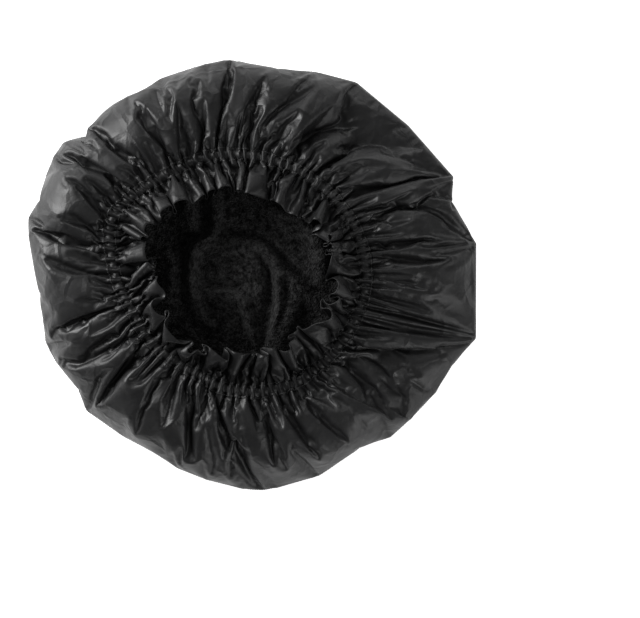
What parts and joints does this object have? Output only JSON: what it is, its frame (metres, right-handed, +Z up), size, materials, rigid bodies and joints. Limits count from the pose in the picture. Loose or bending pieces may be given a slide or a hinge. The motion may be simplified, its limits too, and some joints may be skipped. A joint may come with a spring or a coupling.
{
  "type": "spare tyre cover",
  "caption": "Soft fleece-lined cover with an elastic gathered mouth and frilled header, pulled over a spare wheel; shown relaxed, lying mouth up.",
  "frame": {"origin": "centre of the face panel's underside, on the surface that the cover lies on", "axes": "+Z up out of the mouth; +X and +Y lie in the face panel, with the side band's closing seam near +Y"},
  "size_m": [0.6776, 0.6776, 0.1009],
  "materials": {
    "coated_fabric": "black coated polyester, satin",
    "fleece": "black short-pile fleece, matt",
    "binding_tape": "black woven tape",
    "thread": "black sewing thread",
    "elastic": "black braided elastic"
  },
  "bodies": {
    "cover": {"face_panel": "coated_fabric", "face_lining": "fleece", "side_band": "coated_fabric", "side_band_lining": "fleece", "rim_seam_binding": "binding_tape", "rim_seam_stitches": "thread", "band_seam_stitches": "thread", "lining_seam_stitches": "thread"},
    "mouth_hem": {"hem_strip": "coated_fabric", "elastic_band": "elastic", "elastic_lap_stitches": "thread", "hem_outer_stitches": "thread", "hem_inner_stitches": "thread"}
  },
  "joints": [
    {"name": "mouth_lift", "type": "slide", "parent": "cover", "child": "mouth_hem", "axis": [0, 0, 1], "range_m": [0, 0.1]}
  ]
}
